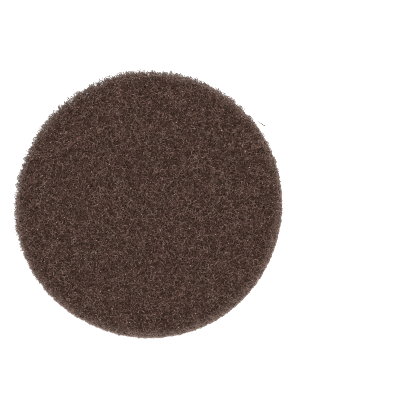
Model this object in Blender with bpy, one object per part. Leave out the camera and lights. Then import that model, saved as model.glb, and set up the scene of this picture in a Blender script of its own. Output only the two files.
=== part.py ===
"""A non-woven abrasive disc with a loop-cloth back, lying with its loop side down.

Two pieces are laminated together: a lofty web of crimped nylon fibre, bonded with resin and
abrasive grain, and a thin loop cloth that grips a hook-faced pad. Both are cut by one die, so
both take their outline from cut_radius().

The frame's origin is the centre of the loop face. The abrasive face looks along +Z. Metres.
"""

import math
import random

import bmesh
import bpy
from mathutils import Vector, geometry, kdtree, noise

# Driving dimensions
DISC_RADIUS = 0.075
WEB_THICKNESS = 0.0062
LOOP_CLOTH_THICKNESS = 0.0010
GLUE_LINE = 0.0003

# The die's cut: waves round the rim, the height of each, and where it peaks in degrees
OUTLINE_WAVES = ((2, 0.00033, -86.0), (3, 0.00024, 125.0), (4, 0.00021, -83.0))
DIE_TUCK = 0.0007
TUCK_HEIGHT = 0.0022
EDGE_ROUND = 0.0011
CLOTH_SETBACK = 0.0006
CLOTH_EDGE_ROUND = 0.0003
CLOTH_EDGE_RAG = 0.00012

# The web's abrasive face: strands of fibre that cross over pores of uneven depth. A strand's
# curl and wander are how far it turns at each step, in radians.
STRAND_COUNT = 240
STRAND_LENGTH = 0.017
STRAND_CURL = 0.35
STRAND_WANDER = 0.22
STRAND_RISE = 0.0008
STRAND_HALF_WIDTH = 0.0008
PORE_DEPTH = 0.0008
SWELL_HEIGHT = 0.00035
SWELL_WIDTH = 0.016

# The web's cut wall: flattened bundles of fibre that lie in layers, and tufts at the lip. A point
# of the lip is shifted by a share of its spacing and lifted by a share of the lip's round edge.
WALL_RAG = 0.00045
BUNDLE_LENGTH = 0.0050
BUNDLE_HEIGHT = 0.0011
TUFT_REACH = 0.0008
TUFT_RARITY = 4
LIP_SHIFT = 0.25
LIP_LIFT = 0.3

# How finely the surfaces are divided
STRAND_STEPS = 6
PORE_POINTS = 1500
RIM_POINTS = 216
WALL_LAYERS = 5
CLOTH_POINTS = 144
WEB_SEED = 41

# Colours are linear RGB
WEB_BROWN = (0.080, 0.046, 0.036)
CLOTH_WHITE = (0.78, 0.82, 0.80)

GOLDEN_ANGLE = math.pi * (3.0 - math.sqrt(5.0))
UP = Vector((0.0, 0.0, 1.0))

web_base = LOOP_CLOTH_THICKNESS + GLUE_LINE
web_top = web_base + WEB_THICKNESS


def cut_radius(angle):
    """Radius of the die's cut at an angle round the disc."""
    wander = 0.0
    for waves, height, phase in OUTLINE_WAVES:
        wander += height * math.cos(waves * angle + math.radians(phase))
    return DISC_RADIUS + wander


def smooth_step(share):
    """Ease a share from 0 to 1 with no corner at either end."""
    share = min(max(share, 0.0), 1.0)
    return share * share * (3.0 - 2.0 * share)


def ring_point(angle, radius, height):
    """Point at an angle, a radius and a height."""
    return Vector((radius * math.cos(angle), radius * math.sin(angle), height))


def spiral_point(i, count, reach):
    """One of many points spread evenly over a disc, along a spiral."""
    return ring_point(i * GOLDEN_ANGLE, reach * math.sqrt((i + 0.5) / count), 0.0)


def new_object(name, shape, colour, roughness):
    """Turn a bmesh into a named object with a material of its own."""
    bmesh.ops.recalc_face_normals(shape, faces=shape.faces)
    mesh = bpy.data.meshes.new(name)
    shape.to_mesh(mesh)
    shape.free()

    material = bpy.data.materials.new(name)
    material.use_nodes = True
    surface = material.node_tree.nodes["Principled BSDF"]
    surface.inputs["Base Color"].default_value = (*colour, 1.0)
    surface.inputs["Roughness"].default_value = roughness
    surface.inputs["Metallic"].default_value = 0.0
    mesh.materials.append(material)

    part = bpy.data.objects.new(name, mesh)
    bpy.context.scene.collection.objects.link(part)
    return part


def lay_strands(rng, reach):
    """Lay curling strands evenly over a disc, each as a list of points in plan."""
    strands = []
    step = STRAND_LENGTH / STRAND_STEPS
    for i in range(STRAND_COUNT):
        heading = rng.uniform(0.0, math.tau)
        curl = rng.gauss(0.0, STRAND_CURL)
        middle = spiral_point(i, STRAND_COUNT, reach)
        place = middle - ring_point(heading, STRAND_LENGTH / 2.0, 0.0)
        strand = []
        for _ in range(STRAND_STEPS + 1):
            if place.length < reach:
                strand.append(place)
            elif strand:
                break
            heading += curl + rng.gauss(0.0, STRAND_WANDER)
            place = place + ring_point(heading, step, 0.0)
        if len(strand) > 2:
            strands.append(strand)
    return strands


def strand_tree(strands):
    """Search tree of points set closely along every strand."""
    spacing = STRAND_HALF_WIDTH / 3.0
    spots = []
    for strand in strands:
        for start, end in zip(strand, strand[1:]):
            count = max(1, math.ceil((end - start).length / spacing))
            spots += [start.lerp(end, i / count) for i in range(count + 1)]
    tree = kdtree.KDTree(len(spots))
    for i, spot in enumerate(spots):
        tree.insert(spot, i)
    tree.balance()
    return tree


def face_height(point, tree, depth):
    """Height of the abrasive face: a slow swell, pores, and strands that stand above them."""
    swell = SWELL_HEIGHT * noise.noise(point / SWELL_WIDTH)
    distance = tree.find(point)[2]
    ridge = 1.0 - smooth_step(distance / STRAND_HALF_WIDTH)
    top = web_top - STRAND_RISE + swell
    return top + ridge * STRAND_RISE - (1.0 - ridge) * depth


def edge_drop(point):
    """How far the round lip lowers the abrasive face near the cut."""
    angle = math.atan2(point.y, point.x)
    inside = cut_radius(angle) - math.hypot(point.x, point.y)
    share = min(max(1.0 - inside / EDGE_ROUND, 0.0), 1.0)
    return EDGE_ROUND * (1.0 - math.sqrt(1.0 - share * share))


def wall_radius(angle, height):
    """Radius of the cut wall: tucked in by the die at its foot, ragged where bundles end."""
    tuck = DIE_TUCK * (1.0 - smooth_step((height - web_base) / TUCK_HEIGHT))
    spot = ring_point(angle, DISC_RADIUS / BUNDLE_LENGTH, height / BUNDLE_HEIGHT)
    return cut_radius(angle) - tuck + WALL_RAG * noise.noise(spot)


def web_lip(rng):
    """Ring of points at the lip, where every few bundles leave a tuft that sticks out."""
    lip = []
    height = web_top - EDGE_ROUND
    for i in range(RIM_POINTS):
        angle = math.tau * (i + rng.uniform(-LIP_SHIFT, LIP_SHIFT)) / RIM_POINTS
        tuft = TUFT_REACH * rng.random() ** TUFT_RARITY
        lift = EDGE_ROUND * rng.uniform(-LIP_LIFT, LIP_LIFT)
        lip.append(ring_point(angle, wall_radius(angle, height) + tuft, height + lift))
    return lip


def verge_points(strands, tree, reach):
    """Points along both sides of every strand, left out where another strand runs."""
    clearance = 0.9 * STRAND_HALF_WIDTH
    points = []
    for strand in strands:
        for before, here, after in zip(strand, strand[1:], strand[2:]):
            side = (after - before).cross(UP).normalized() * STRAND_HALF_WIDTH
            for point in (here + side, here - side):
                if point.length < reach and tree.find(point)[2] > clearance:
                    points.append(point)
    return points


def pore_points(tree, reach):
    """Evenly spread points in plan, left out on and beside the strands."""
    clearance = 2.0 * STRAND_HALF_WIDTH
    points = [spiral_point(i, PORE_POINTS, reach) for i in range(PORE_POINTS)]
    return [point for point in points if tree.find(point)[2] > clearance]


def make_web():
    """The bonded fibre web, one piece from its abrasive face to the glue line."""
    rng = random.Random(WEB_SEED)
    noise.seed_set(WEB_SEED)
    lip = web_lip(rng)
    reach = min(point.xy.length for point in lip) - STRAND_HALF_WIDTH
    strands = lay_strands(rng, reach)
    tree = strand_tree(strands)
    pores = verge_points(strands, tree, reach) + pore_points(tree, reach)

    # In plan, the strands are edges that the triangles of the face have to follow
    plan = [point.xy for point in lip]
    edges = []
    for strand in strands:
        first = len(plan)
        plan += [point.xy for point in strand]
        edges += [(first + i, first + i + 1) for i in range(len(strand) - 1)]
    plan += [point.xy for point in pores]
    merge = STRAND_HALF_WIDTH / 10.0
    rim = list(range(len(lip)))
    inside_only = 1
    flat, _, faces, sources, _, _ = geometry.delaunay_2d_cdt(plan, edges, [rim], inside_only, merge)

    shape = bmesh.new()
    face_points = []
    lip_ring = [None] * len(lip)
    for spot, source in zip(flat, sources):
        on_lip = [i for i in source if i < len(lip)]
        point = spot.to_3d()
        if on_lip:
            point.z = lip[on_lip[0]].z
        else:
            depth = PORE_DEPTH * rng.random() ** 1.5
            point.z = face_height(point, tree, depth) - edge_drop(point)
        face_points.append(shape.verts.new(point))
        for i in on_lip:
            lip_ring[i] = face_points[-1]
    for corners in faces:
        shape.faces.new([face_points[i] for i in corners])

    # The wall goes down from the lip in layers, and a flat face closes it at the glue line
    upper = lip_ring
    lip_height = web_top - EDGE_ROUND
    for layer in range(1, WALL_LAYERS + 1):
        height = lip_height + (web_base - lip_height) * layer / WALL_LAYERS
        lower = []
        for point in lip:
            angle = math.atan2(point.y, point.x)
            lower.append(shape.verts.new(ring_point(angle, wall_radius(angle, height), height)))
        join_rings(shape, upper, lower)
        upper = lower
    shape.faces.new(upper)
    bmesh.ops.triangulate(shape, faces=shape.faces)
    return new_object("abrasive_web", shape, WEB_BROWN, 0.95)


def join_rings(shape, upper, lower):
    """Bridge two rings of as many points with a band of quads."""
    for i in range(len(upper)):
        j = (i + 1) % len(upper)
        shape.faces.new((upper[i], lower[i], lower[j], upper[j]))


def make_loop_cloth():
    """The loop cloth, cut with the web, a little short of it and round at its edge."""
    profile = (
        (CLOTH_EDGE_ROUND, 0.0),
        (0.0, CLOTH_EDGE_ROUND),
        (0.0, LOOP_CLOTH_THICKNESS - CLOTH_EDGE_ROUND),
        (CLOTH_EDGE_ROUND, LOOP_CLOTH_THICKNESS),
    )
    shape = bmesh.new()
    rings = []
    for setback, height in profile:
        ring = []
        for i in range(CLOTH_POINTS):
            angle = math.tau * i / CLOTH_POINTS
            rag = CLOTH_EDGE_RAG * noise.noise(ring_point(angle, DISC_RADIUS / BUNDLE_LENGTH, 0.0))
            radius = cut_radius(angle) - DIE_TUCK - CLOTH_SETBACK - setback + rag
            ring.append(shape.verts.new(ring_point(angle, radius, height)))
        rings.append(ring)
    for lower, upper in zip(rings, rings[1:]):
        join_rings(shape, upper, lower)
    shape.faces.new(rings[0])
    shape.faces.new(rings[-1])
    cloth = new_object("loop_backing", shape, CLOTH_WHITE, 0.9)
    cloth.data.shade_smooth()
    cloth.data.set_sharp_from_angle(angle=math.radians(40.0))
    return cloth


for old in list(bpy.data.objects):
    bpy.data.objects.remove(old, do_unlink=True)

make_web()
make_loop_cloth()
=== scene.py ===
"""Looks of the non-woven abrasive disc: its fibre web, its grain and the loop cloth on its back."""

import math

import bmesh
import bpy
import numpy as np
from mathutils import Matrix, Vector
from mathutils.bvhtree import BVHTree


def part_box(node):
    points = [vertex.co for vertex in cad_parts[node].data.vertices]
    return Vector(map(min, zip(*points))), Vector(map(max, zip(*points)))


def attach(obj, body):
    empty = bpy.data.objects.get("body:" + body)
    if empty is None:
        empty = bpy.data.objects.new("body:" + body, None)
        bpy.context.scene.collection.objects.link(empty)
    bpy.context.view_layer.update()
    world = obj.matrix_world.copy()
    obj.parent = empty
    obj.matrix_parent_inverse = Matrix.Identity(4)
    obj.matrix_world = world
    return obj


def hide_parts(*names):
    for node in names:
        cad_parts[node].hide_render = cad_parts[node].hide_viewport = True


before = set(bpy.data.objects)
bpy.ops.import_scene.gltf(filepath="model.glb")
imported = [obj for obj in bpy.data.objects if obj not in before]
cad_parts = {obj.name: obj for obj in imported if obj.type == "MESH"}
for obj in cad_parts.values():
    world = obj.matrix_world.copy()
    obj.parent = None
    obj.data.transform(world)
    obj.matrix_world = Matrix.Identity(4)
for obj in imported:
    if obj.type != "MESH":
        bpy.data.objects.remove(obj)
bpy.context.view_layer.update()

MM = 0.001
SEED = 20
rng = np.random.default_rng(SEED)

# What the frame gives
web_low, web_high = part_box("abrasive_web")
cloth_low, cloth_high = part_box("loop_backing")
WEB_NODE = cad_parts["abrasive_web"]
CLOTH_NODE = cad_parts["loop_backing"]


# The wall is what lies further out than this share of the web's half width
WALL_SHARE = 0.9


def fit_outline(node, low, high):
    """Fit a node's wall between two heights: radius by angle as a mean and four waves."""
    places = np.array([v.co for v in node.data.vertices], float)
    on_wall = (places[:, 2] > low) & (places[:, 2] < high)
    on_wall &= np.hypot(places[:, 0], places[:, 1]) > WALL_SHARE * (web_high.x - web_low.x) / 2
    angle = np.arctan2(places[on_wall, 1], places[on_wall, 0])
    radius = np.hypot(places[on_wall, 0], places[on_wall, 1])
    return np.linalg.lstsq(wave_terms(angle), radius, rcond=None)[0]


def wave_terms(angle):
    """Cosine and sine of the first four waves round the rim, after a column of ones."""
    terms = [np.ones_like(angle)]
    for waves in range(1, 5):
        terms += [np.cos(waves * angle), np.sin(waves * angle)]
    return np.stack(terms, -1)


web_middle = (web_low.z + web_high.z) / 2
WEB_OUTLINE = fit_outline(WEB_NODE, web_middle, web_high.z - 0.8 * MM)
CLOTH_OUTLINE = fit_outline(CLOTH_NODE, cloth_low.z + 0.1 * MM, cloth_high.z - 0.1 * MM)
RADIUS = float(WEB_OUTLINE[0])


def cut_radius(angle, outline=WEB_OUTLINE):
    """Radius of the die's cut at each angle."""
    return wave_terms(angle) @ outline


# Broad swells and dents of the web's edge that four waves miss: direction and spread in degrees, height
SWELLS = (
    (20, 32, 0.48 * MM),
    (82, 10, -0.3 * MM),
    (125, 6, -0.5 * MM),
    (146, 6, -0.3 * MM),
    (200, 24, 0.56 * MM),
)


def web_radius(angle):
    """Radius of the web's cut edge at each angle: the die's cut with its swells and dents."""
    radius = cut_radius(angle)
    for direction, spread, height in SWELLS:
        off = (angle - math.radians(direction) + math.pi) % math.tau - math.pi
        radius = radius + height * np.exp(-((off / math.radians(spread)) ** 2))
    return radius


FRAYED_SIDE = math.radians(122)
FRAYED_POWER = 1.7
RAG_COUNT = 36
RAG_WAVES = rng.integers(12, 150, RAG_COUNT)
RAG_PHASES = rng.uniform(0, math.tau, RAG_COUNT)
RAG_DEPTH = 0.22 * MM


def rag(angle):
    """Small lumps of the cut outline, finer than its swells and coarser than single fibres."""
    waves = np.cos(RAG_WAVES * np.asarray(angle)[..., None] + RAG_PHASES)
    return RAG_DEPTH * waves.sum(-1) * math.sqrt(2 / RAG_COUNT)


def looseness(angle):
    """0 where the rim is cut clean, at the bottom, and 1 where it is most frayed, at the upper left."""
    return (0.5 + 0.5 * np.cos(angle - FRAYED_SIDE)) ** FRAYED_POWER


# Shapes


def mesh_piece(name, places, faces, corners_per_face, smooth=True):
    """Object from numpy arrays: places of points, and groups of faces with as many corners as said."""
    mesh = bpy.data.meshes.new(name)
    mesh.vertices.add(len(places))
    mesh.vertices.foreach_set("co", np.ascontiguousarray(places, np.float32).ravel())
    loops = np.concatenate([f.ravel() for f in faces]).astype(np.int32)
    counts = np.concatenate([np.full(len(f), n) for f, n in zip(faces, corners_per_face)])
    mesh.loops.add(len(loops))
    mesh.loops.foreach_set("vertex_index", loops)
    mesh.polygons.add(len(counts))
    starts = np.concatenate([[0], np.cumsum(counts)[:-1]]).astype(np.int32)
    mesh.polygons.foreach_set("loop_start", starts)
    mesh.polygons.foreach_set("use_smooth", np.full(len(counts), smooth))
    mesh.update(calc_edges=True)
    mesh.validate()
    piece = bpy.data.objects.new(name, mesh)
    bpy.context.scene.collection.objects.link(piece)
    return piece


# Not quite upright, so that no fibre runs along it
NEARLY_UP = (0.02, 0.01, 1.0)
TINY = 1e-12


def tubes(name, paths, radii, keep, tone, painted_rim_light=0.75, deep=0.8, sides=3):
    """Thin closed tubes along many paths at once, cut where a path's points aren't kept."""
    count, points = keep.shape
    ahead = np.roll(paths, -1, 1)
    ahead[:, -1] = paths[:, -1]
    behind = np.roll(paths, 1, 1)
    behind[:, 0] = paths[:, 0]
    along = ahead - behind
    along /= np.linalg.norm(along, axis=2, keepdims=True) + TINY
    across = np.cross(along, NEARLY_UP)
    across /= np.linalg.norm(across, axis=2, keepdims=True) + TINY
    upward = np.cross(across, along)
    turns = math.pi / 2 + math.tau * np.arange(sides) / sides
    ring = (
        across[:, :, None] * np.cos(turns)[None, None, :, None]
        + upward[:, :, None] * np.sin(turns)[None, None, :, None]
    )
    places = paths[:, :, None] + ring * radii[:, :, None, None]

    index = np.arange(count * points * sides).reshape(count, points, sides)
    run = keep[:, :-1] & keep[:, 1:]
    near, far = index[:, :-1], index[:, 1:]
    quads = np.stack([near, far, np.roll(far, -1, 2), np.roll(near, -1, 2)], -1)
    starts = run & ~np.pad(run, ((0, 0), (1, 0)))[:, :-1]
    ends = run & ~np.pad(run, ((0, 0), (0, 1)))[:, 1:]
    first_caps = near[starts]
    last_caps = far[ends][:, ::-1]
    quads = quads[run].reshape(-1, 4)

    used = np.zeros(index.size, bool)
    used[quads.ravel()] = True
    renumber = np.cumsum(used) - 1
    faces = [renumber[quads], renumber[first_caps], renumber[last_caps]]
    piece = mesh_piece(name, places.reshape(-1, 3)[used], faces, [4, sides, sides])
    set_values(piece, "tone", np.repeat(tone.reshape(-1), sides)[used])
    # Painted rim light, strongest at the cut edge
    set_values(piece, "painted_rim_light", painted_rim_light * rim_light_share(places.reshape(-1, 3)[used], deep))
    lay_tube_map(piece, run, starts, ends, sides)
    return piece


def set_values(piece, name, values):
    """Give each point of a piece a number that its material reads."""
    attribute = piece.data.attributes.new(name, "FLOAT", "POINT")
    attribute.data.foreach_set("value", values.astype(np.float32))


# Painted rim light: fibres are paled towards the cut edge, and less so deep under the face
PALE_WIDTH = 6.5 * MM
PALE_POWER = 2.8
PALE_SHIFT = 0.3 * MM
PALE_DEPTH = 4.0 * MM
PALE_FADE = 2.5 * MM


def rim_light_share(places, deep):
    """How much painted rim light each point gets, a paler colour: most at the cut edge, and less deep
    under the face.
    """
    radius = np.hypot(places[:, 0], places[:, 1])
    angle = np.arctan2(places[:, 1], places[:, 0])
    depth = web_radius(angle) - PALE_SHIFT * looseness(angle) ** 2 - radius
    near_cut = np.clip(1 - depth / PALE_WIDTH, 0, 1) ** PALE_POWER
    near_face = np.clip((places[:, 2] - web_high.z + PALE_DEPTH) / PALE_FADE, 0, 1)
    return near_cut * (deep + (1 - deep) * near_face)


def set_map(piece, corners):
    """Give a piece the flat map that its colours are baked on."""
    layer = piece.data.uv_layers.new(name="OFBake")
    layer.data.foreach_set("uv", np.ascontiguousarray(corners, np.float32).ravel())


# Margins round each fibre's cell of the map, as shares of the cell
CELL_MARGIN_U = 0.05
CELL_MARGIN_V = 0.08

# An end cap on the map: its half width and its gap to the fibre in slots, and its half height
CAP_HALF_WIDTH = 0.2
CAP_GAP = 0.25
CAP_HALF_HEIGHT = 0.4


def lay_tube_map(piece, run, starts, ends, sides):
    """Each fibre in a cell of its own, laid flat, with its end caps beside it."""
    count, segments = run.shape
    alive = run.any(1)
    grid = math.ceil(math.sqrt(alive.sum()))
    cell = np.cumsum(alive) - 1
    corner_u, corner_v = cell % grid, cell // grid
    slots = segments + 2

    def place(fibre, u, v):
        """Corners on the map, from each fibre's own places along and across its cell."""
        left = (corner_u[fibre] + CELL_MARGIN_U)[:, None] + (1 - 2 * CELL_MARGIN_U) * u / slots
        low = (corner_v[fibre] + CELL_MARGIN_V)[:, None] + (1 - 2 * CELL_MARGIN_V) * v
        return (np.stack([left, low], -1) / grid).reshape(-1, 2)

    fibre, segment = np.nonzero(run)
    fibre, segment = np.repeat(fibre, sides), np.repeat(segment, sides)
    side = np.tile(np.arange(sides), len(fibre) // sides)
    near, far = segment + 1, segment + 2
    body = place(
        fibre,
        np.stack([near, far, far, near], -1),
        np.stack([side, side, side + 1, side + 1], -1) / sides,
    )
    turn = math.tau * np.arange(sides) / sides
    cap_u = CAP_HALF_WIDTH * np.cos(turn)[None]
    cap_v = 0.5 + CAP_HALF_HEIGHT * np.sin(turn)[None]
    fibre, segment = np.nonzero(starts)
    before = segment[:, None] + 1 - CAP_GAP
    first = place(fibre, before + cap_u, cap_v + 0 * before)
    fibre, segment = np.nonzero(ends)
    after = segment[:, None] + 2 + CAP_GAP
    last = place(fibre, after + cap_u, cap_v + 0 * after)
    set_map(piece, np.concatenate([body, first, last]))


def crimped(start, heading, steps, step, wander, crimp, wave, phase):
    """Paths in plan that wander and swing from side to side like crimped fibre."""
    length = (np.arange(steps + 1) * step)[None]
    swing = crimp[:, None] * np.sin(math.tau * length / wave[:, None] + phase[:, None])
    turn = heading[:, None] + wander[:, None] * length + swing
    moves = np.stack([np.cos(turn), np.sin(turn)], -1)[:, :-1] * step
    plan = np.concatenate([np.zeros((len(start), 1, 2)), np.cumsum(moves, 1)], 1)
    return start[:, None] + plan


SPIRAL_JITTER = 0.01


def scatter(count, reach):
    """Even scatter of points in plan over a disc, along a spiral, with some jitter."""
    turn = math.pi * (3 - math.sqrt(5))
    order = np.arange(count) + rng.uniform(-0.5, 0.5, count)
    angle = rng.uniform(0, math.tau) + np.arange(count) * turn + rng.normal(0, SPIRAL_JITTER, count)
    radius = reach * np.sqrt(np.clip(order + 0.5, 0, None) / count)
    return np.stack([radius * np.cos(angle), radius * np.sin(angle)], -1)


# Depths in millimetres: on a clean rim, and what grows with the looseness and with its square
SOLID_DEPTHS = (-0.6, 2.0, 1.2)
FRINGE_DEPTHS = (0.85, 0.6, 1.25)
LEAST_RAG = 0.4


def frayed_depth(loose, depths):
    """Depth inside the cut edge at each looseness of the rim."""
    clean, growth, square = depths
    return (growth * loose + square * loose**2 + clean) * MM


def solid_radius(angle):
    """Radius that the web fills with fibre: less than the die's cut where the rim is frayed."""
    loose = looseness(angle)
    return web_radius(angle) + rag(angle) * (LEAST_RAG + loose) - frayed_depth(loose, SOLID_DEPTHS)


TUCK = 0.6 * MM
TUCK_HEIGHT = 2.2 * MM


def tucked(height):
    """How far the wall is tucked in at each height: only near its lower edge."""
    return TUCK * np.clip(1 - (height - web_low.z) / TUCK_HEIGHT, 0, 1)


def inside(paths, allowance):
    """Which points of the paths lie in the solid part of the web, give or take an allowance."""
    radius = np.hypot(paths[..., 0], paths[..., 1])
    angle = np.arctan2(paths[..., 1], paths[..., 0])
    return radius < solid_radius(angle) + allowance


FACE_DEPTH = 1.0 * MM
MEAN_RELIEF = 0.85 * MM
PROBE_HEIGHT = 5 * MM


def surface_height(tree, plan):
    """Height of the CAD web's face under each point in plan."""
    heights = np.empty(plan.shape[:-1])
    flat = plan.reshape(-1, 2)
    out = heights.reshape(-1)
    above = web_high.z + PROBE_HEIGHT
    usual = web_high.z - FACE_DEPTH
    down = Vector((0, 0, -1))
    for i, (x, y) in enumerate(flat):
        hit = tree.ray_cast(Vector((x, y, above)), down)[0]
        out[i] = hit.z if hit else usual
    return heights


def usual_height(tree, plan):
    """The face's height with half of its relief: fibres bridge the pores."""
    return 0.5 * surface_height(tree, plan) + 0.5 * (web_high.z - MEAN_RELIEF)


# Materials


def material(name, roughness, shine=0.1):
    """New material with its nodes and its shader."""
    made = bpy.data.materials.new(name)
    made.use_nodes = True
    tree = made.node_tree
    shader = tree.nodes["Principled BSDF"]
    shader.inputs["Roughness"].default_value = roughness
    shader.inputs["Specular IOR Level"].default_value = shine
    return made, tree, shader


def add(tree, kind, **values):
    """Node of a kind, with its properties and then its sockets set."""
    node = tree.nodes.new(kind)
    for key, value in values.items():
        if key in node.inputs:
            node.inputs[key].default_value = value
        else:
            setattr(node, key, value)
    return node


def fixed_noise(tree, **values):
    """Noise that stays fixed to the object."""
    where = add(tree, "ShaderNodeTexCoord")
    noise = add(tree, "ShaderNodeTexNoise", **values)
    tree.links.new(where.outputs["Object"], noise.inputs["Vector"])
    return noise.outputs["Fac"]


def colours_along(tree, value, *stops):
    """Colours that blend along a value, from pairs of a position and a colour."""
    ramp = add(tree, "ShaderNodeValToRGB")
    elements = ramp.color_ramp.elements
    first, *between, last = stops
    for element, (position, colour) in zip(elements, (first, last)):
        element.position = position
        element.color = (*colour, 1)
    for position, colour in between:
        elements.new(position).color = (*colour, 1)
    tree.links.new(value, ramp.inputs["Fac"])
    return ramp.outputs["Color"]


# The sockets of a mix node that work on colours
MIX_SHARE = 0
MIX_FIRST = 6
MIX_SECOND = 7
MIX_RESULT = 2


def add_painted_rim_light(tree, colour, rim_light_colour):
    """A colour that turns into the rim light's colour, as far as each point has painted rim light."""
    painted_rim_light = add(tree, "ShaderNodeAttribute", attribute_name="painted_rim_light")
    paler = add(tree, "ShaderNodeMix", data_type="RGBA")
    paler.inputs[MIX_SECOND].default_value = (*rim_light_colour, 1)
    tree.links.new(painted_rim_light.outputs["Fac"], paler.inputs[MIX_SHARE])
    tree.links.new(colour, paler.inputs[MIX_FIRST])
    return paler.outputs[MIX_RESULT]


def cover(tree, shader, colour, height, strength, depth):
    """Give a shader its colour and its bump."""
    tree.links.new(colour, shader.inputs["Base Color"])
    bump = add(tree, "ShaderNodeBump", Strength=strength, Distance=depth)
    tree.links.new(height, bump.inputs["Height"])
    tree.links.new(bump.outputs["Normal"], shader.inputs["Normal"])


# Tints of the blotches, which each fibre's brown is multiplied by
GREENER = (0.98, 1.01, 1.0)
REDDER = (1.03, 0.99, 0.995)


def fibre_material(name, dark, mid, light, rim_light_colour):
    """Brown bonded fibre: a tone for each fibre, blotches of other browns, and painted rim light that
    pales the cut edge.
    """
    made, tree, shader = material(name, 0.7)
    tone = add(tree, "ShaderNodeAttribute", attribute_name="tone")
    brown = colours_along(tree, tone.outputs["Fac"], (0, dark), (0.5, mid), (1, light))
    blotches = fixed_noise(tree, Scale=110.0, Detail=2.0)
    tint = colours_along(tree, blotches, (0.35, GREENER), (0.65, REDDER))
    tinted = add(tree, "ShaderNodeMix", data_type="RGBA", blend_type="MULTIPLY")
    tinted.inputs[MIX_SHARE].default_value = 1.0
    tree.links.new(brown, tinted.inputs[MIX_FIRST])
    tree.links.new(tint, tinted.inputs[MIX_SECOND])
    # Painted rim light at the cut edge
    colour = add_painted_rim_light(tree, tinted.outputs[MIX_RESULT], rim_light_colour)
    grain = fixed_noise(tree, Scale=7000.0, Detail=2.0)
    cover(tree, shader, colour, grain, strength=0.6, depth=0.05 * MM)
    return made


def felt_material(name, pore_shade, strand, rim_light_colour, scale, depth):
    """Fibre too fine to model: short worm-like strands over darker pores, whose dark is painted shade."""
    made, tree, shader = material(name, 0.9)
    strands = fixed_noise(tree, Scale=scale, Detail=1.0, Distortion=1.5)
    felt = colours_along(tree, strands, (0.40, pore_shade), (0.60, strand))
    colour = add_painted_rim_light(tree, felt, rim_light_colour)
    cover(tree, shader, colour, strands, strength=1.0, depth=depth)
    return made


def speckled_material(name, low_colour, high_colour, scale):
    """Matt surface whose colour is broken up by a fine noise."""
    made, tree, shader = material(name, 0.8)
    speckle = fixed_noise(tree, Scale=scale, Detail=3.0)
    colour = colours_along(tree, speckle, (0.35, low_colour), (0.65, high_colour))
    cover(tree, shader, colour, speckle, strength=0.7, depth=0.1 * MM)
    return made


# The fibres' browns, and the colour of the painted rim light at the cut edge
FIBRE = fibre_material(
    "bonded_fibre",
    dark=(0.026, 0.0095, 0.006),
    mid=(0.089, 0.0465, 0.035),
    light=(0.275, 0.184, 0.154),
    rim_light_colour=(0.33, 0.24, 0.205),
)
# The web's depth between the fibres: a darker brown and near-black pores, painted shade
CORE = felt_material(
    "web_depth",
    pore_shade=(0.004, 0.0017, 0.0011),
    strand=(0.048, 0.0245, 0.0175),
    rim_light_colour=(0.20, 0.142, 0.118),
    scale=1500.0,
    depth=0.3 * MM,
)
GRAIN = speckled_material("abrasive_grain", (0.09, 0.05, 0.038), (0.2, 0.13, 0.105), 2500.0)
# Pale flecks: painted highlights, the glints of resin-coated grain
FLECK = speckled_material("glint_fleck", (0.34, 0.225, 0.185), (0.50, 0.36, 0.31), 2500.0)
LOOP = speckled_material("loop_yarn", (0.74, 0.78, 0.77), (0.86, 0.89, 0.88), 1500.0)
# The cloth ground's grey pores are painted shade
CLOTH = felt_material(
    "loop_ground",
    pore_shade=(0.50, 0.54, 0.53),
    strand=(0.84, 0.88, 0.87),
    rim_light_colour=(0.84, 0.88, 0.87),
    scale=2200.0,
    depth=0.12 * MM,
)


# The web's core: what is seen between the fibres


CORE_EDGE = 8 * MM
CORE_EDGE_FADE = 6.5 * MM
# Share of the painted rim light that the core gets
CORE_PALE = 0.5
CORE_WELD = 0.002 * MM

# Shares of the web's height: where the core starts to sink under the face, and over how much
CORE_SINK_START = 0.6
CORE_SINK_FADE = 0.25

# Ranges in millimetres: how far the core lies under the web's face, and behind its wall
CORE_UNDER = (0.35, 1.2)
CORE_BEHIND = (0.9, 1.7)


def make_core():
    """Closed core under the fibres, roughened from the CAD web's own relief."""
    shape = bmesh.new()
    shape.from_mesh(WEB_NODE.data)
    bmesh.ops.remove_doubles(shape, verts=shape.verts, dist=CORE_WELD)
    bmesh.ops.triangulate(shape, faces=shape.faces)
    bmesh.ops.subdivide_edges(shape, edges=shape.edges, cuts=2, use_grid_fill=True)
    bmesh.ops.triangulate(shape, faces=shape.faces)
    mesh = bpy.data.meshes.new("web_core")
    shape.to_mesh(mesh)
    shape.free()
    places = np.array([v.co for v in mesh.vertices], float)
    radius = np.hypot(places[:, 0], places[:, 1])
    angle = np.arctan2(places[:, 1], places[:, 0])
    above = (places[:, 2] - web_low.z) / (web_high.z - web_low.z)
    upper = np.clip((above - CORE_SINK_START) / CORE_SINK_FADE, 0, 1)
    near_wall = np.clip((radius - (RADIUS - CORE_EDGE)) / CORE_EDGE_FADE, 0, 1)
    sink = upper * rng.uniform(*CORE_UNDER, len(places)) * MM
    behind = rng.uniform(*CORE_BEHIND, len(places)) * MM
    wall = solid_radius(angle) - behind - tucked(places[:, 2])
    radius += near_wall * (wall - radius)
    places[:, 2] -= sink
    places[:, 0] = radius * np.cos(angle)
    places[:, 1] = radius * np.sin(angle)
    mesh.vertices.foreach_set("co", places.astype(np.float32).ravel())
    mesh.polygons.foreach_set("use_smooth", np.ones(len(mesh.polygons), bool))
    mesh.update()
    core = bpy.data.objects.new("web_core", mesh)
    bpy.context.scene.collection.objects.link(core)
    core.data.materials.clear()
    core.data.materials.append(CORE)
    # Painted rim light on the core, weaker deep in the web
    set_values(core, "painted_rim_light", CORE_PALE * rim_light_share(places, deep=0.2))
    return core


# The fibres

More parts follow.
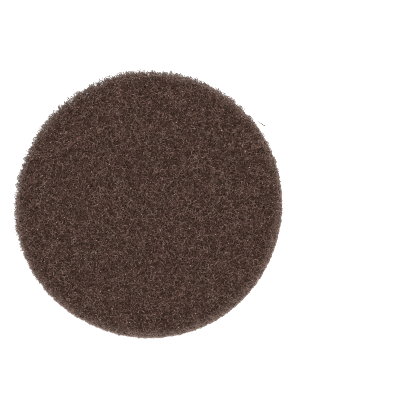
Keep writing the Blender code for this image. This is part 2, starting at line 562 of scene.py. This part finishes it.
FIBRE_STEP = 0.8 * MM
FACE_STEPS = 9
WALL_STEPS = 8
TOP_FIBRES = 10800
TOP_PIECES = 3
WALL_FIBRES = 2300
FACE_RADIUS = 0.13 * MM
WALL_RADIUS = 0.12 * MM
THINNEST = 0.05 * MM
THICKEST = 0.26 * MM
RADIUS_SPREAD = 0.22
LUMP_SPREAD = 0.25
LUMP_RANGE = (0.6, 1.6)
BEAD_SHARE = 0.07
BEAD_THICKENING = 0.9

# Bends of a fibre: how much it keeps turning, in radians a metre, and how far its crimp swings, in radians
WANDER = 60
CRIMPS = (0.6, 1.4)
WALL_CRIMPS = (0.6, 1.3)

# Tone of the fibres: its mean, its spread from fibre to fibre and along one, and its rise with height,
# painted shade that darkens the deeper fibres
TONE_MEAN = 0.5
TONE_SPREADS = (0.09, 0.18)
PAINTED_SHADE_RISE = 0.22

# Where a fibre has the mean tone: this far under the face, and this far behind the wall
FACE_TONE_DEPTH = 0.3 * MM
WALL_TONE_DEPTH = 0.5 * MM

# In millimetres: lengths of a crimp, and lengths and height of a fibre's rise and fall
CRIMP_WAVES = (2.8, 5.5)
LIFT_WAVES = (2.6, 5.0)
LIFT = 0.3
ROUGHNESS = 0.07

# In millimetres: how a fibre lies from the face, how far behind the wall, and where its cut ends stop
FACE_LEVELS = (-0.7, 0.1)
WALL_DEPTHS = (0.0, 0.8)
CUT_ENDS = (-0.7, 0.5)

# The face's fibres start up to this far outside the cut, so that the rim is as full as the middle
START_MARGIN = 5 * MM

# Tilt of the wall's fibres in radians, and their distances from the cloth, the face and the cut
WALL_TILT = 0.5
WALL_ABOVE_CLOTH = 0.1 * MM
WALL_START_UNDER_FACE = 0.6 * MM
WALL_UNDER_FACE = 0.2 * MM
WALL_INSET = 0.1 * MM


def fibre_radii(count, points, mean, spread):
    """Radius at each point: each fibre's own, thickened here and there by resin and grain."""
    own = rng.lognormal(math.log(mean), spread, (count, 1))
    lumps = 1 + LUMP_SPREAD * rng.standard_normal((count, points))
    beads = 1 + BEAD_THICKENING * (rng.random((count, points)) < BEAD_SHARE)
    radii = own * np.clip(lumps, *LUMP_RANGE) * beads
    return np.clip(radii, THINNEST, THICKEST)


def fibre_tone(mean, spreads, shape):
    """Tone at each point: each fibre's own, and a change from point to point."""
    own = rng.normal(mean, spreads[0], (shape[0], 1))
    return own + rng.normal(0, spreads[1], shape)


def make_top_fibres(tree, piece_number, count):
    """Fibres that lie in and out of the abrasive face."""
    start = scatter(count, RADIUS + START_MARGIN)
    heading = rng.uniform(0, math.tau, count)
    wander = rng.normal(0, WANDER, count)
    crimp = rng.uniform(*CRIMPS, count)
    wave = rng.uniform(*CRIMP_WAVES, count) * MM
    phase = rng.uniform(0, math.tau, count)
    plan = crimped(start, heading, FACE_STEPS, FIBRE_STEP, wander, crimp, wave, phase)
    length = (np.arange(FACE_STEPS + 1) * FIBRE_STEP)[None]
    lift_wave = rng.uniform(*LIFT_WAVES, count) * MM
    lift_phase = rng.uniform(0, math.tau, count)
    lift = np.sin(math.tau * length / lift_wave[:, None] + lift_phase[:, None])
    depth = rng.uniform(*FACE_LEVELS, count)[:, None] * MM
    face = usual_height(tree, plan)
    height = face + depth + LIFT * MM * lift
    height += rng.normal(0, ROUGHNESS * MM, height.shape)
    paths = np.concatenate([plan, height[..., None]], -1)
    keep = inside(paths, rng.uniform(*CUT_ENDS, (count, 1)) * MM)
    radii = fibre_radii(count, FACE_STEPS + 1, FACE_RADIUS, RADIUS_SPREAD)
    tone = fibre_tone(TONE_MEAN, TONE_SPREADS, keep.shape)
    # Painted shade: fibres sunk under the face are darker, those standing above it lighter
    tone = np.clip(tone + PAINTED_SHADE_RISE * (height - face + FACE_TONE_DEPTH) / MM, 0, 1)
    return tubes(f"web_fibres_{piece_number}", paths, radii, keep, tone)


def make_wall_fibres(count):
    """Fibres that the die cut through, packed along the wall, mostly level and tangled."""
    around = rng.uniform(0, math.tau, count) * RADIUS
    lowest = cloth_high.z + WALL_ABOVE_CLOTH
    level = rng.uniform(lowest, web_high.z - WALL_START_UNDER_FACE, count)
    unrolled = crimped(
        np.stack([around, level], -1),
        rng.normal(0, WALL_TILT, count) + math.pi * rng.integers(0, 2, count),
        WALL_STEPS,
        FIBRE_STEP,
        rng.normal(0, WANDER, count),
        rng.uniform(*WALL_CRIMPS, count),
        rng.uniform(*CRIMP_WAVES, count) * MM,
        rng.uniform(0, math.tau, count),
    )
    angle, height = unrolled[..., 0] / RADIUS, unrolled[..., 1]
    length = (np.arange(WALL_STEPS + 1) * FIBRE_STEP)[None]
    swing_wave = rng.uniform(*LIFT_WAVES, count) * MM
    swing_phase = rng.uniform(0, math.tau, count)
    swing = np.sin(math.tau * length / swing_wave[:, None] + swing_phase[:, None])
    behind = rng.uniform(*WALL_DEPTHS, count)[:, None] * MM + LIFT * MM * swing
    behind += rng.normal(0, ROUGHNESS * MM, behind.shape)
    radius = solid_radius(angle) - WALL_INSET - behind - tucked(height)
    paths = np.stack([radius * np.cos(angle), radius * np.sin(angle), height], -1)
    keep = (height > lowest) & (height < web_high.z - WALL_UNDER_FACE)
    radii = fibre_radii(count, WALL_STEPS + 1, WALL_RADIUS, RADIUS_SPREAD)
    tone = fibre_tone(TONE_MEAN, TONE_SPREADS, keep.shape)
    # Painted shade: fibres further behind the wall are darker
    tone = np.clip(tone + PAINTED_SHADE_RISE * (WALL_TONE_DEPTH - behind) / MM, 0, 1)
    return tubes("wall_fibres", paths, radii, keep, tone, deep=0.25)


FRINGE_LOOPS = 880
FRINGE_TIPS = 850
FRINGE_RADIUS = 0.15 * MM
FRINGE_RADIUS_SPREAD = 0.2
FRINGE_LOWEST = 0.3 * MM
FRINGE_TONE = 0.3
FRINGE_TONE_SPREADS = (0.15, 0.15)
# Share of painted rim light on the fringe fibres
FRINGE_PALE = 0.4
LOOP_POINTS = 9
TIP_POINTS = 5

# Reach of fringe fibres in millimetres: the least, the most that is added, and what fraying adds to that
LOOP_REACH = (0.7, 0.6, 3.4)
TIP_REACH = (0.7, 0.8, 3.6)

# How the reach spreads between its least and its most: the two shape numbers of a beta curve
LOOP_REACH_CURVE = (1.2, 1.8)
TIP_REACH_CURVE = (1.0, 1.8)

# In millimetres: how far above the web's underside and under its face the fringe fibres stand out
LOOP_MARGINS = (1.0, 0.6)
TIP_MARGINS = (0.8, 0.4)

# In millimetres: half widths of the loops, what fraying adds to them, and how loops and tips lie
LOOP_HALF_WIDTHS = (0.35, 1.1)
LOOP_FRAYED_WIDTH = 0.9
LOOP_LEAN = 0.5
LOOP_UNEVENNESS = 0.06
TIP_BEND = 1.0
FRINGE_SLANT = 0.5

# Angles that are tried for each one that is kept, and the share of them that is kept on a clean rim
TRIES_EACH = 6
CLEAN_SHARE = 0.3


def frayed_angles(count):
    """Angles round the rim, closer together where it is more frayed."""
    tries = rng.uniform(0, math.tau, TRIES_EACH * count)
    share = CLEAN_SHARE + (1 - CLEAN_SHARE) * looseness(tries)
    return tries[rng.random(len(tries)) < share][:count]


def fringe_root(angle):
    """Radius at which fringe fibres leave the web: deeper where the rim is frayed."""
    return web_radius(angle) - frayed_depth(looseness(angle), FRINGE_DEPTHS)


def fringe_reach(loose, reach, curve):
    """How far each fringe fibre stands out: mostly little, and further where the rim is frayed."""
    least, added, frayed = reach
    return (least + (added + frayed * loose) * rng.beta(*curve, len(loose))) * MM


def fringe_levels(count, margins):
    """Heights at which fringe fibres stand out of the web."""
    above, under = margins
    return rng.uniform(web_low.z + above * MM, web_high.z - under * MM, count)[:, None]


def fringe_tubes(name, round_rim, radius, height):
    """Tubes along fringe fibres, from their angles round the rim, radii and heights."""
    height = np.clip(height, web_low.z + FRINGE_LOWEST, web_high.z)
    paths = np.stack([radius * np.cos(round_rim), radius * np.sin(round_rim), height], -1)
    keep = np.ones(height.shape, bool)
    radii = fibre_radii(*height.shape, FRINGE_RADIUS, FRINGE_RADIUS_SPREAD)
    tone = fibre_tone(FRINGE_TONE, FRINGE_TONE_SPREADS, keep.shape)
    return tubes(name, paths, radii, keep, np.clip(tone, 0, 1), FRINGE_PALE)


def make_rim_loops(count, points):
    """Loops of fibre that stand out of the cut edge."""
    angle = frayed_angles(count)
    loose = looseness(angle)
    reach = fringe_reach(loose, LOOP_REACH, LOOP_REACH_CURVE)
    half_width = rng.uniform(*LOOP_HALF_WIDTHS, count) * MM
    half_width += LOOP_FRAYED_WIDTH * loose * rng.random(count) * MM
    lean = rng.normal(0, LOOP_LEAN, count) * MM
    turn = np.linspace(0, math.pi, points)[None]
    sideways = half_width[:, None] * np.cos(turn) + lean[:, None] * np.sin(turn)
    uneven = rng.normal(0, LOOP_UNEVENNESS * MM, (count, points))
    outward = reach[:, None] * np.sin(turn) + uneven
    round_rim = angle[:, None] + sideways / RADIUS
    radius = fringe_root(angle)[:, None] + outward
    level = fringe_levels(count, LOOP_MARGINS)
    height = level + rng.normal(0, FRINGE_SLANT, count)[:, None] * MM * np.cos(turn)
    return fringe_tubes("rim_loops", round_rim, radius, height)


def make_rim_tips(count, points):
    """Cut tips of fibre that stand out of the cut edge."""
    angle = frayed_angles(count)
    loose = looseness(angle)
    reach = fringe_reach(loose, TIP_REACH, TIP_REACH_CURVE)
    share = np.linspace(0, 1, points)[None]
    bend = rng.normal(0, TIP_BEND, count)[:, None] * MM
    round_rim = angle[:, None] + (bend * share**2) / RADIUS
    radius = fringe_root(angle)[:, None] + reach[:, None] * share
    level = fringe_levels(count, TIP_MARGINS)
    height = level + rng.normal(0, FRINGE_SLANT, count)[:, None] * MM * share**2
    return fringe_tubes("rim_tips", round_rim, radius, height)


# The one long fibre that has come loose at the upper right, in millimetres from the disc's centre
STRAY_POINTS = (
    (56.1, 48.1), (58.6, 46.8), (59.9, 46.2), (61.1, 45.6), (62.3, 44.7), (63.3, 44.0), (64.6, 43.4),
)
STRAY_STEPS = 4
STRAY_TONE = 0.25
STRAY_DEPTH = 1.2 * MM
STRAY_DROOP = 1.0 * MM
STRAY_ROOT = 0.08 * MM
STRAY_THICKENING = 0.19 * MM


def make_stray():
    """The long loose fibre: smoothed between its points, and thickening over its middle third."""
    knots = np.array(STRAY_POINTS) * MM
    points = []
    for k in range(len(knots) - 1):
        for i in range(STRAY_STEPS):
            points.append(knots[k] + (knots[k + 1] - knots[k]) * i / STRAY_STEPS)
    points.append(knots[-1])
    plan = np.array(points)
    plan[1:-1] = (plan[:-2] + 2 * plan[1:-1] + plan[2:]) / 4
    share = np.linspace(0, 1, len(plan))
    height = web_high.z - STRAY_DEPTH - STRAY_DROOP * share**2
    paths = np.concatenate([plan, height[:, None]], -1)[None]
    radii = (STRAY_ROOT + STRAY_THICKENING * np.clip(3 * share - 1, 0, 1))[None]
    keep = np.ones(paths.shape[:2], bool)
    tone = STRAY_TONE * np.ones(keep.shape)
    return tubes("stray_fibre", paths, radii, keep, tone, painted_rim_light=0.0, sides=5)


# In millimetres: how grains lie from the face
GRAIN_LEVELS = (-0.9, 0.2)
GRAIN_STRETCHES = (0.6, 1.3)
GRAIN_HEM = 1.2 * MM

# One of a grain's eight triangles on the map, in a slot that is a quarter by a half of the grain's cell
GRAIN_TRIANGLE = ((0.03, 0.06), (0.22, 0.06), (0.12, 0.44))


def make_grains(name, count, sizes, tree, sunk):
    """Angular grains stuck in the face: octahedra, each stretched its own way."""
    corners = np.array(
        [[1, 0, 0], [-1, 0, 0], [0, 1, 0], [0, -1, 0], [0, 0, 1], [0, 0, -1]], float
    )
    sides = np.array(
        [
            [0, 2, 4], [2, 1, 4], [1, 3, 4], [3, 0, 4],
            [2, 0, 5], [1, 2, 5], [3, 1, 5], [0, 3, 5],
        ]
    )
    plan = scatter(count, RADIUS - GRAIN_HEM)
    height = surface_height(tree, plan) + rng.uniform(*GRAIN_LEVELS, count) * MM - sunk
    centres = np.concatenate([plan, height[:, None]], -1)
    axes = np.linalg.qr(rng.standard_normal((count, 3, 3)))[0]
    axes[np.linalg.det(axes) < 0, :, 0] *= -1
    size = rng.uniform(*sizes, (count, 1, 1))
    stretch = rng.uniform(*GRAIN_STRETCHES, (count, 6, 1))
    places = centres[:, None] + (corners[None] * size * stretch) @ axes
    faces = sides[None] + 6 * np.arange(count)[:, None, None]
    piece = mesh_piece(name, places.reshape(-1, 3), [faces.reshape(-1, 3)], [3], smooth=False)
    grid = math.ceil(math.sqrt(count))
    cell = np.stack([np.arange(count) % grid, np.arange(count) // grid], -1)
    slot = np.stack([np.arange(8) % 4 / 4, np.arange(8) // 4 / 2], -1)
    set_map(piece, (cell[:, None, None] + slot[None, :, None] + np.array(GRAIN_TRIANGLE)) / grid)
    return piece


# The loop cloth


CLOTH_COLUMNS = 360
CLOTH_SHARES = (0.25, 0.5, 0.75, 0.9, 0.97, 1.0)
GROUND_HEIGHT = 0.45 * MM
CUT_ROUGHNESS = 0.05 * MM
GROUND_ROUGHNESS = 0.03 * MM


def make_cloth():
    """Ground of the loop cloth, a thin closed sheet whose edge was cut with the web."""
    columns = CLOTH_COLUMNS
    angle = math.tau * np.arange(columns) / columns
    edge = cut_radius(angle, CLOTH_OUTLINE)
    ground_low, ground_high = cloth_low.z + GROUND_HEIGHT, cloth_high.z
    rings = []
    for height in (ground_high, ground_low):
        order = CLOTH_SHARES if height == ground_high else CLOTH_SHARES[::-1]
        for share in order:
            on_edge = share == 1
            radius = edge * share + on_edge * CUT_ROUGHNESS * rng.standard_normal(columns)
            rough = (not on_edge) * GROUND_ROUGHNESS * np.abs(rng.standard_normal(columns))
            ring = [radius * np.cos(angle), radius * np.sin(angle), height - rough]
            rings.append(np.stack(ring, -1))
    places = np.concatenate([[[0, 0, ground_high]], *rings, [[0, 0, ground_low]]])
    here = np.arange(columns)
    after = (here + 1) % columns
    quads = []
    for k in range(len(rings) - 1):
        a, b = 1 + k * columns, 1 + (k + 1) * columns
        quads.append(np.stack([a + here, b + here, b + after, a + after], -1))
    last = 1 + (len(rings) - 1) * columns
    top_fan = np.stack([np.zeros(columns, int), 1 + here, 1 + after], -1)
    bottom_fan = np.stack([np.full(columns, len(places) - 1), last + after, last + here], -1)
    return mesh_piece("loop_cloth", places, [np.concatenate(quads), top_fan, bottom_fan], [4, 3, 3])


PILE_STEPS = 9
PILE_STEP = 0.65 * MM
PILE_LEVEL = 0.34 * MM
PILE_LIFT = 0.2 * MM
PILE_WANDER = 300
PILE_HEM = 0.4 * MM

# Ranges in millimetres of the yarn: lengths of its crimp and of its loops, and its radius
PILE_CRIMP_WAVES = (3.0, 4.8)
PILE_LOOP_WAVES = (2.4, 4.2)
PILE_RADII = (0.08, 0.115)


def make_pile(count):
    """Brushed yarn that loops in and out of the cloth's underside."""
    start = scatter(count, 1.0)
    angle = np.arctan2(start[:, 1], start[:, 0])
    start *= (cut_radius(angle, CLOTH_OUTLINE) - PILE_HEM)[:, None]
    plan = crimped(
        start,
        rng.uniform(0, math.tau, count),
        PILE_STEPS,
        PILE_STEP,
        rng.normal(0, PILE_WANDER, count),
        rng.uniform(*CRIMPS, count),
        rng.uniform(*PILE_CRIMP_WAVES, count) * MM,
        rng.uniform(0, math.tau, count),
    )
    length = (np.arange(PILE_STEPS + 1) * PILE_STEP)[None]
    loop_wave = rng.uniform(*PILE_LOOP_WAVES, count) * MM
    loop_phase = rng.uniform(0, math.tau, count)
    loops = np.sin(math.tau * length / loop_wave[:, None] + loop_phase[:, None])
    height = cloth_low.z + PILE_LEVEL + PILE_LIFT * loops
    paths = np.concatenate([plan, height[..., None]], -1)
    angle = np.arctan2(plan[..., 1], plan[..., 0])
    keep = np.hypot(plan[..., 0], plan[..., 1]) < cut_radius(angle, CLOTH_OUTLINE)
    radii = rng.uniform(*PILE_RADII, count)[:, None] * MM * np.ones((1, PILE_STEPS + 1))
    return tubes("loop_pile", paths, radii, keep, 0.5 * np.ones(keep.shape))


# Building

GRAINS = 3200
GRAIN_SIZES = (0.07 * MM, 0.17 * MM)
# Pale flecks raised above the face: painted highlights
FLECKS = 600
FLECK_SIZES = (0.16 * MM, 0.32 * MM)
FLECK_RISE = 0.2 * MM
PILE_YARNS = 2500

face_tree = BVHTree.FromObject(WEB_NODE, bpy.context.evaluated_depsgraph_get())

core = make_core()
fibres = []
for number in range(1, TOP_PIECES + 1):
    fibres.append(make_top_fibres(face_tree, number, TOP_FIBRES // TOP_PIECES))
fibres.append(make_wall_fibres(WALL_FIBRES))
frayed = [
    make_rim_loops(FRINGE_LOOPS, LOOP_POINTS),
    make_rim_tips(FRINGE_TIPS, TIP_POINTS),
    make_stray(),
]
grains = make_grains("grains", GRAINS, GRAIN_SIZES, face_tree, sunk=0.0)
flecks = make_grains("pale_flecks", FLECKS, FLECK_SIZES, face_tree, sunk=-FLECK_RISE)
cloth = make_cloth()
pile = make_pile(PILE_YARNS)

for piece in fibres + frayed:
    piece.data.materials.append(FIBRE)
grains.data.materials.append(GRAIN)
flecks.data.materials.append(FLECK)
cloth.data.materials.append(CLOTH)
pile.data.materials.append(LOOP)

for piece in [core, grains, flecks, *fibres, *frayed]:
    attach(piece, "root")
for piece in (cloth, pile):
    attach(piece, "root")
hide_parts("abrasive_web")
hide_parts("loop_backing")


# Stage

FLOOR_HALF = 3.0
FLOOR_HEIGHT = -0.05 * MM
FLOOR_CORNERS = ((-1, -1), (1, -1), (1, 1), (-1, 1))
PAPER_COLOUR = (0.93, 0.93, 0.93)
SKY_STRENGTH = 1.15
KEY_PLACE = (0.1, 0.1, 1.0)
KEY_SIZE = 0.3
KEY_POWER = 9.3

floor_mesh = bpy.data.meshes.new("floor")
floor_mesh.from_pydata(
    [(x * FLOOR_HALF, y * FLOOR_HALF, FLOOR_HEIGHT) for x, y in FLOOR_CORNERS],
    [],
    [(0, 1, 2, 3)],
)
floor = bpy.data.objects.new("floor", floor_mesh)
bpy.context.scene.collection.objects.link(floor)
paper, _, paper_shader = material("paper", 0.9, shine=0.0)
paper_shader.inputs["Base Color"].default_value = (*PAPER_COLOUR, 1)
floor_mesh.materials.append(paper)

world = bpy.data.worlds.new("studio")
world.use_nodes = True
background = world.node_tree.nodes["Background"]
background.inputs["Color"].default_value = (1, 1, 1, 1)
background.inputs["Strength"].default_value = SKY_STRENGTH
bpy.context.scene.world = world


def add_light(name, place, aim, size, power):
    """Square soft light that faces a point."""
    data = bpy.data.lights.new(name, "AREA")
    data.size = size
    data.energy = power
    lamp = bpy.data.objects.new(name, data)
    lamp.location = place
    lamp.rotation_euler = (Vector(aim) - Vector(place)).to_track_quat("-Z", "Y").to_euler()
    bpy.context.scene.collection.objects.link(lamp)


add_light("key", KEY_PLACE, (0, 0, 0), KEY_SIZE, KEY_POWER)

# The photograph's frame: pixel of the disc's centre, the disc's radius in pixels and the frame's width
DISC_PIXEL = (148.6, 204.5)
DISC_RADIUS_PIXELS = 132.9
FRAME_PIXELS = 408

# How far under the highest fibre the disc's outline lies, where its pixels are measured
OUTLINE_DEPTH = 0.5 * MM
pixel = RADIUS / DISC_RADIUS_PIXELS
middle = FRAME_PIXELS / 2
frame_width = FRAME_PIXELS * pixel
LENS = 135.0
SENSOR = 36.0
camera_data = bpy.data.cameras.new("camera")
camera_data.lens = LENS
camera_data.sensor_width = SENSOR
camera = bpy.data.objects.new("camera", camera_data)
camera.location = (
    (middle - DISC_PIXEL[0]) * pixel,
    (DISC_PIXEL[1] - middle) * pixel,
    web_high.z - OUTLINE_DEPTH + frame_width * LENS / SENSOR,
)
bpy.context.scene.collection.objects.link(camera)
bpy.context.scene.camera = camera

# The fibres are finer than a pixel, so their grain is neither denoised nor blurred
PIXEL_FILTER = 1.15
bpy.context.scene.view_settings.view_transform = "Standard"
bpy.context.scene.cycles.use_denoising = False
bpy.context.scene.cycles.filter_width = PIXEL_FILTER
